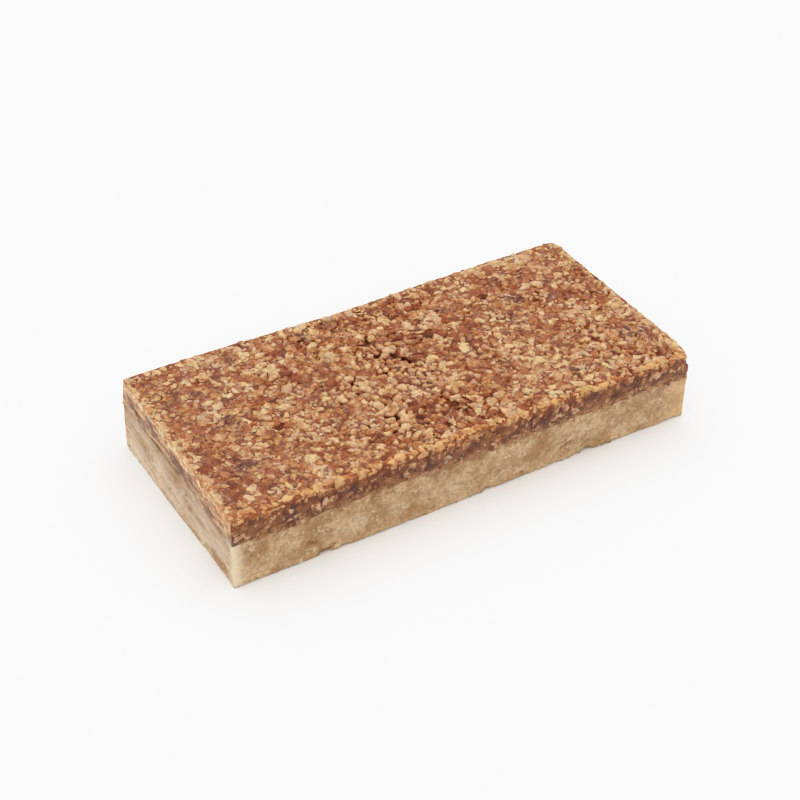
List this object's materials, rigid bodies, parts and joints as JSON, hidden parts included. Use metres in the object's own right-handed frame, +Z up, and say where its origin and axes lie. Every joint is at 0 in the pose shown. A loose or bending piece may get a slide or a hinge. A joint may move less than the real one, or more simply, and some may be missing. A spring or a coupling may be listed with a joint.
{
  "type": "baklava bar",
  "caption": "Rectangular bar of pressed nut sweet: a pale ground-nut base under a rough topping of chopped nuts in date paste. It lies flat on its base.",
  "frame": {"origin": "middle of the bar's underside, on the surface that it lies on", "axes": "+X along the bar's length, +Y across its width, +Z up through the two layers; the long side that the picture shows faces -Y"},
  "size_m": [0.1, 0.0472, 0.0156],
  "materials": {
    "ground_nut_base": "matt, dense, finely granular, cut faces with small pits and knife smears",
    "nut_and_date_topping": "chopped tan nuts in slightly sticky red-brown paste, matt with a soft sheen on the syrupy pieces"
  },
  "bodies": {
    "root": {"nut_base": "ground_nut_base", "nut_topping": "nut_and_date_topping"}
  },
  "joints": []
}
